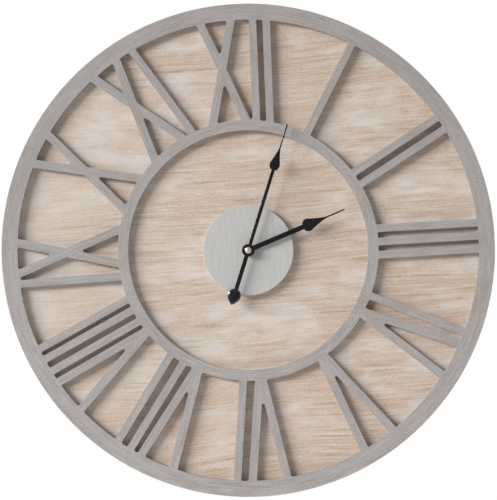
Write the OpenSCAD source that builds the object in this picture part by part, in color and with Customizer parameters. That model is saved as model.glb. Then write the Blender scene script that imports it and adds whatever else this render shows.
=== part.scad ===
// Wall clock with a routed ring of Roman numerals over a pale wood dial, spade hands and a quartz movement.
// The origin is the entry hole of the keyhole hanger, on the wall plane. +Z is up and the dial faces -Y.

/* [Dial] */
// Outside diameter of the rim
rim_d = 600; // [500:1:720]
// Radial width of the rim
rim_w = 19.3; // [14:0.1:30]
// Outside diameter of the ring that the numerals stand on
hub_ring_d = 317.2; // [264:0.1:381]
// Radial width of the ring that the numerals stand on
hub_ring_w = 12.6; // [9:0.1:20]
// Width of an upright numeral stroke
stem_w = 9.2; // [6:0.1:11.1]
// Width of a slanted numeral stroke
slant_w = 9.9; // [6:0.1:11.9]
// Radius that the router cutter leaves in inside corners
cutter_r = 1.8; // [0.8:0.1:2.2]
// Diameter of the raised disc in the middle
disc_d = 110; // [90:1:150]

/* [Layers, back to front] */
// How far the board's edge sits inside the rim
board_inset = 2; // [1:0.5:8]
// Thickness of the rubber bumpers against the wall
bumper_t = 2; // [1:0.5:4]
// Thickness of the board
board_t = 9; // [6:0.5:12]
// Thickness of the wood veneer on the board
veneer_t = 1; // [0.6:0.1:2]
// Thickness of the numeral fretwork
fretwork_t = 9; // [6:0.5:12]
// Thickness of the middle disc
disc_t = 9; // [6:0.5:12]

/* [Back] */
// Height of the hanger's entry hole above the hand axis
hanger_at = 145; // [120:1:175]
// Width of batten above and below the hanger plate
batten_margin = 2.6; // [1:0.1:10]
// Distance from a batten's end to the edge of the board
batten_end_gap = 23; // [10:1:60]
// Diameter of a bumper
bumper_d = 14; // [8:1:20]
// Width of the keyhole hanger plate
hanger_w = 20; // [16:1:30]
// Thickness of the hanger plate
hanger_t = 1.5; // [1:0.1:2]
// Radius of the hanger's round entry hole
entry_r = 4.5; // [3.7:0.1:5.5]
// Width of the hanger's slot
keyhole_slot_w = 4.6; // [3.8:0.1:5.6]
// How far the slot rises above the entry hole
keyhole_rise = 11; // [8:0.5:14]
// Gap between the setting knob and the wall
knob_wall_gap = 2.7; // [1:0.1:12]

/* [Movement] */
// Wall of the movement case
case_wall = 1.5; // [1.2:0.05:2]
// Diameter of the battery
cell_d = 14.2; // [11.8:0.1:17.1]
// Length of the battery without its button
cell_l = 50.5; // [42:0.1:60.6]
// Radius of the threaded bushing
bushing_r = 4; // [3.3:0.1:5]
// Radius of the hour pipe
hour_pipe_r = 2.5; // [2.1:0.1:3]
// Radius of the minute arbor
arbor_r = 1.6; // [1.3:0.1:1.9]

/* [Hands] */
// Direction of the minute hand at rest, in degrees clockwise from twelve
minute_at = 20.6; // [0:0.1:360]
// Direction of the hour hand at rest, in degrees clockwise from twelve
hour_at = 70.4; // [0:0.1:360]
// Length of the minute hand from the axis to its tip
minute_l = 160; // [130:1:200]
// Length of the minute hand's spade
minute_spade_l = 58; // [40:0.5:75]
// Length of the hour hand from the axis to its tip
hour_l = 127; // [100:1:155]
// Length of the hour hand's spade
hour_spade_l = 54.5; // [40:0.5:70]
// Distance from the axis to the end of the minute hand's tail
tail_l = 69.5; // [50:0.5:90]
// Length of the tail's counterweight
weight_l = 20.5; // [15:0.5:28]
// Width of the minute hand's spade
minute_spade_w = 12.6; // [8:0.1:20]
// Width of the hour hand's spade
hour_spade_w = 16; // [10:0.1:24]
// Width of the tail's counterweight
weight_w = 16; // [10:0.1:22]
// Thickness of the tail's counterweight
weight_t = 2.6; // [1:0.1:3.5]
// Thickness of a hand
hand_t = 0.8; // [0.6:0.1:1.2]
// Diameter of the minute hand's boss
boss_d = 15.6; // [12:0.1:20]
// Diameter of the cap nut
cap_d = 7.6; // [6:0.1:9]

/* [Hidden] */
$fn = 96;

// Fits: the gap on the radius of a running fit, of a bolt in its hole, and between parts that don't touch
run_gap = 0.06;
bolt_gap = 0.25;
part_gap = 0.3;

// Movement case: the bay holds the battery between its contacts, and the works need the rest
knob_t = 1.5;
knob_r = 5;
works_depth = 13.5;
works_half_w = 26.5;
gasket_t = 1;
cell_gap = 0.45;
contact_room = 0.95;
button_r = 2.7;
button_l = 0.6;
bay_l = cell_l + button_l + 2*contact_room;
cavity_x = max(bay_l/2, works_half_w);
case_w = 2*cavity_x + 2*case_wall;
case_t = 2*case_wall + max(works_depth, cell_d + 2*part_gap - case_wall);

// Battens: thick enough to keep the movement and its knob clear of the wall
batten_t = gasket_t + case_t + part_gap + knob_t + knob_wall_gap - bumper_t;

// Distances from the wall plane, front of each layer
batten_z = bumper_t + batten_t;
board_z = batten_z + board_t;
veneer_z = board_z + veneer_t;
disc_z = veneer_z + disc_t;
fretwork_z = veneer_z + fretwork_t;

// Dial: radii, and how far a numeral stroke runs on into the rings
rim_r = rim_d/2;
rim_in_r = rim_r - rim_w;
hub_out_r = hub_ring_d/2;
hub_in_r = hub_out_r - hub_ring_w;
board_r = rim_r - board_inset;
stroke_root = 5;
ring_sides = 180;
corner_sides = 16;

// Strokes of the numerals XII, I, II ... XI, read clockwise. Each has its direction at the rim and at the hub
// ring, in degrees clockwise from its hour, and its width.
NUMERALS = [
    [[-8.6, 2.5, slant_w], [-1.0, -12.4, slant_w], [4.4, 7.0, stem_w], [7.8, 13.0, stem_w]],
    [[0, 0, stem_w]],
    [[-1.7, -3.0, stem_w], [1.7, 3.0, stem_w]],
    [[-3.5, -6.3, stem_w], [-0.2, -0.4, stem_w], [3.0, 5.4, stem_w]],
    [[-5.8, -6.1, stem_w], [-2.8, 1.5, slant_w], [6.1, 2.6, slant_w]],
    [[-5.5, -2.2, slant_w], [3.1, -0.6, slant_w]],
    [[-6.4, -2.9, slant_w], [2.3, -1.5, slant_w], [6.1, 5.6, stem_w]],
    [[-7.7, -4.1, slant_w], [1.0, -2.8, slant_w], [4.1, 3.4, stem_w], [7.7, 10.0, stem_w]],
    [[-10.1, -5.4, slant_w], [-1.4, -4.9, slant_w], [1.8, 0.4, stem_w], [5.2, 6.1, stem_w],
     [8.1, 11.3, stem_w]],
    [[-5.0, -8.2, stem_w], [-2.5, 12.7, slant_w], [5.2, -2.4, slant_w]],
    [[-4.6, 6.9, slant_w], [3.3, -8.3, slant_w]],
    [[-8.6, 3.0, slant_w], [-1.5, -12.4, slant_w], [3.1, 8.0, stem_w]]
];

// Hanger: the entry hole is the origin, so the hand axis lies this far below it
hanger_screw_zone = 11;
hanger_screw_r = 1.3;
hanger_screw_head_r = 2.6;
hanger_screw_head_t = 1.5;
hanger_screw_l = 12;
hanger_h = 2*hanger_screw_zone + entry_r + keyhole_rise + keyhole_slot_w/2;
hanger_screw_at = hanger_h/2 - hanger_screw_zone/2;
entry_drop = hanger_h/2 - hanger_screw_zone - entry_r;
pocket_depth = 10;
pocket_w = 2*entry_r + 3;

// Battens: their place behind the board, and their screws
batten_w = hanger_h + 2*batten_margin;
batten_at = hanger_at + entry_drop;
batten_l = 2*(sqrt(pow(board_r, 2) - pow(batten_at + batten_w/2, 2)) - batten_end_gap);
screw_x = [for (share = [-1, -0.45, 0.45, 1]) share*(batten_l/2 - 40)];
screw_r = 1.75;
screw_head_r = 3.6;
screw_bite = board_t - 2.5;
bumper_x = batten_l/2 - bumper_d;

// Movement: the case from its front face back, with the battery bay below the works
case_z = batten_z - gasket_t;
case_front_z = case_z - case_wall;
case_rear_z = case_z - case_t;
case_corner_r = 3;
works_top = 28;
bay_wall_top = -11.4;
bay_wall_t = 1;
cell_y = bay_wall_top - bay_wall_t - cell_gap - cell_d/2;
case_bottom = cell_y - cell_d/2 - cell_gap - case_wall;
cell_z = case_front_z - part_gap - cell_d/2;
cover_z = case_rear_z + case_wall;
contact_t = 0.4;
contact_drop = 4;
contact_rise = 3;
contact_x = bay_l/2 - 0.1;
strip_z = cover_z + 2;

// Levels of the works, each measured forward from the inside of the cover
third_level = cover_z + 1.0;
stator_level = cover_z + 1.6;
seconds_level = cover_z + 2.6;
core_level = cover_z + 2.2;
rotor_pinion_level = cover_z + 3.5;
intermediate_level = cover_z + 3.7;
arbor_level = cover_z + 4.5;
centre_level = cover_z + 5.2;
plate_level = cover_z + 6.6;
plate_t = 1.2;
plate_gap = 1;
plate_z = plate_level + plate_t;
circuit_t = 1;
circuit_level = plate_level - circuit_t;
strip_h = circuit_level - strip_z;
motion_level = plate_z + 1.0;
hour_level = motion_level + 1.8;
wheel_t = 0.8;
pivot_r = 0.5;
shaft_r = 0.6;
motion_post_r = 0.8;
pivot_l = 1;

// Gears: tooth counts and centre distances, from which each pair's module follows
rotor_teeth = 8;
intermediate_teeth = 48;
intermediate_pinion_teeth = 8;
seconds_teeth = 40;
seconds_pinion_teeth = 8;
third_teeth = 60;
third_pinion_teeth = 8;
centre_teeth = 64;
cannon_teeth = 10;
motion_teeth = 30;
motion_pinion_teeth = 8;
hour_teeth = 32;
knob_teeth = 10;
rotor_distance = 7.28;
intermediate_distance = 11.04;
third_distance = 10.8;
motion_distance = 10;
tip_share = 0.2;
root_share = 0.6;
addendum = 0.85;
dedendum = 1.15;

// Places of the arbors seen from the front, x to the right and y up from the hand axis
third_dir = 180;
intermediate_dir = 20;
rotor_dir = 80;
motion_dir = 135;
knob_dir = 100;
third_at = along([0, 0], third_distance, third_dir);
intermediate_at = along([0, 0], intermediate_distance, intermediate_dir);
rotor_at = along(intermediate_at, rotor_distance, rotor_dir);
motion_at = along([0, 0], motion_distance, motion_dir);
knob_at = along(motion_at, motion_distance, knob_dir);
works_arbors = [[0, 0], third_at, intermediate_at, rotor_at];

// Turn of each gear at rest, so that every pair is in mesh
motion_turn = mesh_turn(0, cannon_teeth, motion_dir, motion_teeth);
hour_turn = mesh_turn(0, motion_pinion_teeth, motion_dir + 180, hour_teeth);
knob_turn = mesh_turn(motion_turn, motion_teeth, knob_dir, knob_teeth);
third_turn = mesh_turn(0, centre_teeth, third_dir, third_pinion_teeth);
seconds_turn = mesh_turn(0, third_teeth, third_dir + 180, seconds_pinion_teeth);
intermediate_turn = mesh_turn(0, seconds_teeth, intermediate_dir, intermediate_pinion_teeth);
rotor_turn = mesh_turn(0, intermediate_teeth, rotor_dir, rotor_teeth);

// Motor and circuit
magnet_r = 2.6;
magnet_t = 2.3;
stator_r = 5.4;
stator_hole_r = 3.1;
stator_arm_x = 9;
stator_arm_w = 2.6;
coil_y = 21;
coil_l = 12;
coil_r = 2.3;
bobbin_r = 2.6;
bobbin_tube_r = 1.2;
bobbin_flange_t = 0.7;
core_w = 1.2;
core_l = 20.4;
circuit_w = 6.8;
circuit_x = contact_x - 0.1 - circuit_w;
circuit_y = [-5, 17];
chip_y = 1;
chip_t = 0.8;
crystal_y = 7;
crystal_r = 1;
crystal_l = 6;
post_r = 1.8;
post_at = [for (side = [-1, 1], y = [-8, 23]) [side*(cavity_x - 3.5), y]];

// Front of the movement: levels that the hands sit at
washer_t = 0.8;
washer_r = bushing_r + 3;
nut_t = 2.6;
nut_across_flats = 2*bushing_r + 3;
thread_end_z = disc_z + washer_t + nut_t + 0.8;
flange_r = bushing_r + 2.5;
flange_t = 1.2;
hands_floor = max(thread_end_z, fretwork_z);
hour_hand_z = hands_floor + 1;
collar_r = hour_pipe_r + 2.1;
collar_t = 2.4;
minute_hand_z = hour_hand_z + collar_t + 1.2;
stud_r = arbor_r - 0.3;
stud_l = 3.4;
boss_t = 0.8;
cap_z = minute_hand_z + hand_t + boss_t;
cap_skirt = 1.6;
cap_dome = 1.2;

// Hands: widths and the places along each hand where its outline changes
minute_shank_w = 4.4;
tail_shank_w = 5.2;
hour_shank_w = 6.2;
needle_w = 1.8;
spade_shoulder = 7.5;
minute_spade_at = minute_l - minute_spade_l;
minute_spade = [minute_spade_at, minute_spade_at + spade_shoulder, minute_spade_at + minute_spade_l*0.5];
hour_spade_at = hour_l - hour_spade_l;
hour_spade = [hour_spade_at, hour_spade_at + spade_shoulder, hour_spade_at + hour_spade_l*0.58];
spade_curve = 1.4;
weight_neck = 8.5;
outline_steps = 10;

// A point at a distance and a direction in degrees, anticlockwise from +X
function along(from, distance, direction) = from + distance*[cos(direction), sin(direction)];

// A point on the dial at a radius and an angle in degrees, clockwise from twelve
function dial_point(radius, angle) = radius*[sin(angle), cos(angle)];

// Turn that puts a gear in mesh with one that is turned by driver_turn and lies in the opposite direction
function mesh_turn(driver_turn, driver_teeth, direction, teeth) =
    direction + 180 + 180/teeth + (direction - driver_turn)*driver_teeth/teeth;

function gear_module(distance, teeth, other_teeth) = 2*distance/(teeth + other_teeth);

// Outline of a gear: four corners for each tooth, the first tooth pointing along +X
function gear_outline(teeth, m) = [
    for (i = [0:teeth - 1], corner = [[-root_share/2, -dedendum], [-tip_share/2, addendum],
                                      [tip_share/2, addendum], [root_share/2, -dedendum]])
        let (angle = (i + corner[0])*360/teeth)
        (m*teeth/2 + m*corner[1])*[cos(angle), sin(angle)]
];

// Half the width of a spade hand at a distance from the axis. It grows from the base to the widest place, then
// narrows to the needle.
function spade_half(at, spade, wide, shank) =
    at < spade[1]
        ? shank/2 + (wide - shank)/2*sqrt(max(0, 1 - pow((spade[1] - at)/(spade[1] - spade[0]), 2)))
        : needle_w/2
          + (wide - needle_w)/2*pow(max(0, 1 - (at - spade[1])/(spade[2] - spade[1])), spade_curve);

// Half the width of the counterweight at a distance from the axis along the tail
function weight_half(at) =
    let (widest = tail_l - weight_l + weight_neck)
    at < widest
        ? weight_w/2*sqrt(max(0, 1 - pow((widest - at)/weight_neck, 2)))
        : weight_w/2*(1 - pow((at - widest)/(tail_l - widest), 2));

function mirrored(side) = concat(side, [for (i = [len(side) - 1:-1:0]) [-side[i].x, side[i].y]]);

// Puts what is drawn on the dial plane, x right, y up and z out of the wall, into the object's frame
module on_wall() {
    translate([0, 0, -hanger_at]) rotate([90, 0, 0]) children();
}

// A plate drawn from one distance off the wall to another
module plate(from_z, to_z) {
    translate([0, 0, from_z]) linear_extrude(to_z - from_z) children();
}

module rod(radius, from_z, to_z, at = [0, 0]) {
    translate([at.x, at.y, from_z]) cylinder(r = radius, h = to_z - from_z);
}

module ring(outer_r, inner_r, from_z, to_z) {
    plate(from_z, to_z) difference() {
        circle(r = outer_r);
        circle(r = inner_r);
    }
}

module bar(from, to, width, run_on = 0) {
    step = to - from;
    translate(from) rotate(atan2(step.y, step.x)) translate([-run_on, -width/2])
        square([norm(step) + 2*run_on, width]);
}

module rounded_rectangle(low, high, radius) {
    translate([low.x + radius, low.y]) square([high.x - low.x - 2*radius, high.y - low.y]);
    translate([low.x, low.y + radius]) square([high.x - low.x, high.y - low.y - 2*radius]);
    for (x = [low.x + radius, high.x - radius], y = [low.y + radius, high.y - radius])
        translate([x, y]) circle(r = radius);
}

module box(low, high) {
    translate(low) cube(high - low);
}

module gear(teeth, m, from_z, to_z, turn) {
    plate(from_z, to_z) rotate(turn) polygon(gear_outline(teeth, m));
}

// Rods with a thinner pivot at each end, running in the cover and in the train plate
module pivoted_shaft(at) {
    rod(shaft_r, cover_z + part_gap, plate_level - part_gap, at);
    rod(pivot_r, cover_z - pivot_l + part_gap, plate_level + pivot_l, at);
}

// The dial

module numeral_strokes() {
    for (hour = [0:len(NUMERALS) - 1], stroke = NUMERALS[hour])
        bar(dial_point(rim_in_r, 30*hour + stroke[0]), dial_point(hub_out_r, 30*hour + stroke[1]),
            stroke[2], stroke_root);
}

// The openings that the router cuts between the strokes, with its radius in every corner
module dial_openings() {
    offset(r = cutter_r, $fn = corner_sides) offset(delta = -cutter_r) difference() {
        circle(r = rim_in_r, $fn = ring_sides);
        circle(r = hub_out_r, $fn = ring_sides);
        numeral_strokes();
    }
}

module back_board() {
    color("burlywood") on_wall() difference() {
        ring(board_r, bushing_r + bolt_gap, batten_z, board_z);
        for (x = screw_x, side = [-1, 1])
            rod(screw_r + run_gap, batten_z - 1, batten_z + screw_bite + part_gap, [x, side*batten_at]);
    }
}

module face_veneer() {
    color("tan") on_wall() ring(board_r, bushing_r + bolt_gap, board_z, veneer_z);
}

module numeral_fretwork() {
    color("darkgray") on_wall() plate(veneer_z, fretwork_z) difference() {
        circle(r = rim_r);
        circle(r = hub_in_r);
        dial_openings();
    }
}

module centre_disc() {
    color("silver") on_wall() ring(disc_d/2, bushing_r + bolt_gap, veneer_z, disc_z);
}

// The back

module batten(side) {
    sink_h = screw_head_r - screw_r + bolt_gap;
    difference() {
        plate(bumper_t, batten_z) translate([-batten_l/2, side*batten_at - batten_w/2])
            square([batten_l, batten_w]);
        for (x = screw_x) translate([x, side*batten_at, 0]) {
            rod(screw_r + bolt_gap, 0, batten_z + 1);
            translate([0, 0, bumper_t - bolt_gap])
                cylinder(r1 = screw_head_r + 2*bolt_gap, r2 = screw_r + bolt_gap, h = sink_h);
        }
    }
}

// Outline of the keyhole, from the entry hole up to the end of the slot
module keyhole(entry, slot) {
    circle(r = entry);
    translate([-slot/2, 0]) square([slot, keyhole_rise]);
    translate([0, keyhole_rise]) circle(r = slot/2);
}

module upper_batten() {
    color("peru") on_wall() difference() {
        batten(1);
        plate(bumper_t - 1, bumper_t + hanger_t) translate([0, batten_at])
            square([hanger_w + 2*bolt_gap, hanger_h + 2*bolt_gap], center = true);
        plate(bumper_t, bumper_t + hanger_t + pocket_depth) translate([0, batten_at - entry_drop])
            keyhole(pocket_w/2, pocket_w);
        for (side = [-1, 1])
            rod(hanger_screw_r + run_gap, bumper_t, bumper_t + hanger_screw_l + part_gap,
                [0, batten_at + side*hanger_screw_at]);
    }
}

module lower_batten() {
    color("peru") on_wall() batten(-1);
}

module batten_screws() {
    color("gray") on_wall() for (x = screw_x, side = [-1, 1]) translate([x, side*batten_at, 0]) {
        rod(screw_r, bumper_t, batten_z + screw_bite);
        translate([0, 0, bumper_t])
            cylinder(r1 = screw_head_r, r2 = screw_r, h = screw_head_r - screw_r);
    }
}

module hanger_plate() {
    color("gray") on_wall() plate(bumper_t, bumper_t + hanger_t) translate([0, batten_at]) difference() {
        translate([-hanger_w/2, -hanger_h/2]) square([hanger_w, hanger_h]);
        translate([0, -entry_drop]) keyhole(entry_r, keyhole_slot_w);
        for (side = [-1, 1]) translate([0, side*hanger_screw_at]) circle(r = hanger_screw_r + bolt_gap);
    }
}

module hanger_screws() {
    color("gray") on_wall() for (side = [-1, 1]) translate([0, batten_at + side*hanger_screw_at, 0]) {
        rod(hanger_screw_r, bumper_t - hanger_screw_head_t/2, bumper_t + hanger_screw_l);
        rod(hanger_screw_head_r, bumper_t - hanger_screw_head_t, bumper_t);
    }
}

module wall_bumpers() {
    color("dimgray") on_wall() for (x = [-bumper_x, bumper_x], side = [-1, 1])
        rod(bumper_d/2, 0, bumper_t, [x, side*batten_at]);
}

// The movement's shells and fixings

module movement_case() {
    color("black") on_wall() difference() {
        plate(case_rear_z, case_z)
            rounded_rectangle([-case_w/2, case_bottom], [case_w/2, works_top], case_corner_r);
        box([-cavity_x, bay_wall_top, case_rear_z - 1], [cavity_x, works_top - case_wall, case_front_z]);
        box([-cavity_x, case_bottom + case_wall, case_rear_z - 1],
            [cavity_x, bay_wall_top - bay_wall_t, case_front_z]);
        for (side = [-1, 1]) translate([side*contact_x, bay_wall_top - bay_wall_t/2, strip_z + strip_h/2])
            cube([2*contact_room, 2*bay_wall_t, strip_h + 2*part_gap], center = true);
        rod(bushing_r + run_gap, case_front_z - 1, case_z + 1);
    }
}

module movement_cover() {
    color("black") on_wall() difference() {
        box([-cavity_x + part_gap, bay_wall_top + part_gap, case_rear_z],
            [cavity_x - part_gap, works_top - case_wall - part_gap, cover_z]);
        for (at = works_arbors) rod(pivot_r + run_gap, cover_z - pivot_l, cover_z + 1, at);
        rod(2*shaft_r + run_gap, case_rear_z - 1, cover_z + 1, knob_at);
    }
}

module threaded_bushing() {
    color("goldenrod") on_wall() difference() {
        union() {
            rod(bushing_r, case_front_z - flange_t, thread_end_z);
            rod(flange_r, case_front_z - flange_t, case_front_z);
        }
        rod(hour_pipe_r + run_gap, case_front_z - flange_t - 1, thread_end_z + 1);
    }
}

module rubber_gasket() {
    color("dimgray") on_wall() ring(2*washer_r, bushing_r + bolt_gap, case_z, batten_z);
}

module dial_washer() {
    color("goldenrod") on_wall() ring(washer_r, bushing_r + bolt_gap, disc_z, disc_z + washer_t);
}

module dial_nut() {
    color("goldenrod") on_wall() plate(disc_z + washer_t, disc_z + washer_t + nut_t) difference() {
        circle(d = nut_across_flats/cos(30), $fn = 6);
        circle(r = bushing_r + run_gap);
    }
}

module train_plate() {
    color("whitesmoke") on_wall() difference() {
        union() {
            box([-cavity_x + plate_gap, bay_wall_top + plate_gap, plate_level],
                [cavity_x - plate_gap, works_top - case_wall - plate_gap, plate_z]);
            for (at = post_at) rod(post_r, cover_z, case_front_z, at);
            rod(motion_post_r, plate_z - 0.2, hour_level + 2.4, motion_at);
        }
        rod(arbor_r + run_gap, plate_level - 1, plate_z + 1);
        for (at = [third_at, intermediate_at, rotor_at])
            rod(pivot_r + run_gap, plate_level - 1, plate_z + 1, at);
        rod(2*shaft_r + run_gap, plate_level - 1, plate_z + 1, knob_at);
    }
}

// The circuit, the motor's fixed half and the battery

module circuit_board() {
    color("darkgreen") on_wall()
        box([circuit_x, circuit_y[0], circuit_level], [circuit_x + circuit_w, circuit_y[1], plate_level]);
}

module clock_chip() {
    color("black") on_wall() translate([circuit_x + circuit_w/2, chip_y, circuit_level - chip_t])
        cylinder(r1 = 2*chip_t, r2 = 3*chip_t, h = chip_t);
}

module quartz_crystal() {
    color("silver") on_wall()
        translate([circuit_x + circuit_w/2, crystal_y, circuit_level - crystal_r - run_gap])
        rotate([-90, 0, 0]) cylinder(r = crystal_r, h = crystal_l);
}

// Lies along x, centred over the rotor
module along_coil(radius, from_x, to_x) {
    translate([rotor_at.x + from_x, coil_y, core_level + core_w/2]) rotate([0, 90, 0])
        cylinder(r = radius, h = to_x - from_x);
}

module coil_bobbin() {
    color("ivory") on_wall() difference() {
        union() {
            along_coil(bobbin_tube_r, -coil_l/2, coil_l/2);
            along_coil(bobbin_r, -coil_l/2, -coil_l/2 + bobbin_flange_t);
            along_coil(bobbin_r, coil_l/2 - bobbin_flange_t, coil_l/2);
        }
        along_coil(core_w*0.75, -coil_l, coil_l);
    }
}

module coil_winding() {
    color("peru") on_wall() difference() {
        along_coil(coil_r, -coil_l/2 + bobbin_flange_t, coil_l/2 - bobbin_flange_t);
        along_coil(bobbin_tube_r + run_gap, -coil_l, coil_l);
    }
}

module stator() {
    color("silver") on_wall() {
        plate(stator_level, stator_level + wheel_t) difference() {
            union() {
                translate(rotor_at) circle(r = stator_r);
                for (side = [-1, 1])
                    bar(rotor_at + [side*(stator_r - 2), 0], [rotor_at.x + side*stator_arm_x, coil_y],
                        stator_arm_w);
            }
            translate(rotor_at) circle(r = stator_hole_r);
        }
        box([rotor_at.x - core_l/2, coil_y - core_w/2, core_level],
            [rotor_at.x + core_l/2, coil_y + core_w/2, core_level + core_w]);
    }
}

module battery_cell() {
    color("steelblue") on_wall() translate([-cell_l/2 + 0.1, cell_y, cell_z]) rotate([0, 90, 0]) {
        cylinder(d = cell_d, h = cell_l);
        cylinder(r = button_r, h = cell_l + button_l);
    }
}

module positive_contact() {
    color("silver") on_wall()
        box([contact_x - contact_t, cell_y - contact_drop, strip_z],
            [contact_x, circuit_y[0] + contact_rise, strip_z + strip_h]);
}

// Runs from the battery's flat end up the side of the bay, along its wall and up to the circuit
module negative_contact() {
    strip_y = bay_wall_top + part_gap;
    color("silver") on_wall() {
        box([-contact_x, cell_y - contact_drop, strip_z],
            [-contact_x + contact_t, strip_y + contact_t, strip_z + strip_h]);
        box([-contact_x, strip_y, strip_z],
            [circuit_x + contact_t, strip_y + contact_t, strip_z + strip_h]);
        box([circuit_x, strip_y, strip_z],
            [circuit_x + contact_t, circuit_y[0] + contact_rise - 1, strip_z + strip_h]);
        translate([-contact_x, cell_y, strip_z + strip_h/2]) rotate([0, 90, 0])
            cylinder(r1 = 1.4, r2 = 1, h = contact_x - cell_l/2 - part_gap);
    }
}

// The train that the rotor drives

module rotor_magnet() {
    color("dimgray") on_wall() difference() {
        rod(magnet_r, stator_level - 0.7, stator_level - 0.7 + magnet_t, rotor_at);
        rod(shaft_r, 0, case_z, rotor_at);
    }
}

module rotor_pinion() {
    m = gear_module(rotor_distance, rotor_teeth, intermediate_teeth);
    color("white") on_wall() {
        translate(rotor_at)
            gear(rotor_teeth, m, rotor_pinion_level, intermediate_level + wheel_t, rotor_turn);
        pivoted_shaft(rotor_at);
    }
}

module intermediate_wheel() {
    wheel_m = gear_module(rotor_distance, rotor_teeth, intermediate_teeth);
    pinion_m = gear_module(intermediate_distance, intermediate_pinion_teeth, seconds_teeth);
    color("white") on_wall() {
        translate(intermediate_at) {
            gear(intermediate_teeth, wheel_m, intermediate_level, intermediate_level + wheel_t, 0);
            gear(intermediate_pinion_teeth, pinion_m, seconds_level - 0.2, intermediate_level + 0.1,
                intermediate_turn);
        }
        pivoted_shaft(intermediate_at);
    }
}

module seconds_wheel() {
    wheel_m = gear_module(intermediate_distance, intermediate_pinion_teeth, seconds_teeth);
    pinion_m = gear_module(third_distance, seconds_pinion_teeth, third_teeth);
    color("white") on_wall() {
        gear(seconds_teeth, wheel_m, seconds_level, seconds_level + wheel_t, 0);
        gear(seconds_pinion_teeth, pinion_m, third_level - 0.2, seconds_level + 0.1, seconds_turn);
        rod(shaft_r, cover_z + part_gap, arbor_level - 0.2);
        rod(pivot_r, cover_z - pivot_l + part_gap, arbor_level + pivot_l);
    }
}

module third_wheel() {
    wheel_m = gear_module(third_distance, seconds_pinion_teeth, third_teeth);
    pinion_m = gear_module(third_distance, third_pinion_teeth, centre_teeth);
    color("white") on_wall() {
        translate(third_at) {
            gear(third_teeth, wheel_m, third_level, third_level + wheel_t, 0);
            gear(third_pinion_teeth, pinion_m, centre_level - 0.4, centre_level + wheel_t + 0.2,
                third_turn);
        }
        pivoted_shaft(third_at);
    }
}

module centre_wheel() {
    m = gear_module(third_distance, third_pinion_teeth, centre_teeth);
    color("white") on_wall() difference() {
        gear(centre_teeth, m, centre_level, centre_level + wheel_t, 0);
        rod(arbor_r + run_gap, centre_level - 1, centre_level + 2);
    }
}

// The motion work under the hands

module minute_arbor() {
    m = gear_module(motion_distance, cannon_teeth, motion_teeth);
    color("goldenrod") on_wall() difference() {
        union() {
            rod(arbor_r, arbor_level, minute_hand_z);
            rod(stud_r, arbor_level, minute_hand_z + stud_l);
            rod(arbor_r + 0.7, arbor_level, centre_level - 0.1);
            gear(cannon_teeth, m, motion_level - 0.2, hour_level - 0.3, 0);
        }
        rod(pivot_r + run_gap, arbor_level - 1, arbor_level + pivot_l + part_gap);
    }
}

module motion_wheel() {
    wheel_m = gear_module(motion_distance, cannon_teeth, motion_teeth);
    pinion_m = gear_module(motion_distance, motion_pinion_teeth, hour_teeth);
    color("white") on_wall() translate(motion_at) difference() {
        union() {
            gear(motion_teeth, wheel_m, motion_level, motion_level + wheel_t, motion_turn);
            gear(motion_pinion_teeth, pinion_m, motion_level + wheel_t/2, hour_level + 1.2, 0);
        }
        rod(motion_post_r + run_gap, motion_level - 1, hour_level + 3);
    }
}

module hour_wheel() {
    m = gear_module(motion_distance, motion_pinion_teeth, hour_teeth);
    color("goldenrod") on_wall() difference() {
        union() {
            gear(hour_teeth, m, hour_level, hour_level + wheel_t, hour_turn);
            rod(hour_pipe_r, hour_level, hour_hand_z + collar_t);
        }
        rod(arbor_r + run_gap, hour_level - 1, hour_hand_z + collar_t + 1);
    }
}

module setting_knob() {
    m = gear_module(motion_distance, cannon_teeth, motion_teeth);
    color("ivory") on_wall() {
        translate(knob_at)
            gear(knob_teeth, m, motion_level - 0.2, motion_level + wheel_t + 0.2, knob_turn);
        rod(2*shaft_r, case_rear_z - 1, motion_level + wheel_t, knob_at);
        difference() {
            rod(knob_r, case_rear_z - part_gap - knob_t, case_rear_z - part_gap, knob_at);
            for (i = [0:17]) rod(0.4, 0, case_z, along(knob_at, knob_r + 0.1, 20*i));
        }
    }
}

// The hands, each drawn pointing up and turned to its place

module spade_blade(length, spade, wide, shank) {
    upper = [for (i = [0:outline_steps]) spade[1] + (spade[2] - spade[1])*i/outline_steps];
    lower = [for (i = [0:outline_steps - 1]) spade[1] - (spade[1] - spade[0])*cos(90*i/outline_steps)];
    polygon(mirrored(concat(
        [[shank/2, 0], [shank/2, spade[0]]],
        [for (at = concat(lower, upper)) [spade_half(at, spade, wide, shank), at]],
        [[needle_w/2, length - needle_w/2], [needle_w/4, length]]
    )));
}

module hour_hand() {
    color("black") on_wall() rotate(-hour_at) plate(hour_hand_z, hour_hand_z + hand_t) difference() {
        union() {
            spade_blade(hour_l, hour_spade, hour_spade_w, hour_shank_w);
            circle(d = boss_d);
        }
        circle(r = collar_r - 1.2);
    }
}

// The bush that the hour hand is riveted to, pressed on the hour pipe
module hour_hand_collar() {
    color("black") on_wall() difference() {
        union() {
            rod(collar_r - 1.2, hour_hand_z, hour_hand_z + collar_t);
            rod(collar_r, hour_hand_z + hand_t, hour_hand_z + collar_t);
        }
        rod(hour_pipe_r, hour_hand_z - 1, hour_hand_z + collar_t + 1);
    }
}

module counterweight_outline() {
    start = tail_l - weight_l;
    polygon(mirrored([
        for (i = [0:2*outline_steps])
            let (at = start + weight_l*(1 - cos(90*i/outline_steps))/2)
            [weight_half(at), -at]
    ]));
}

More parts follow.
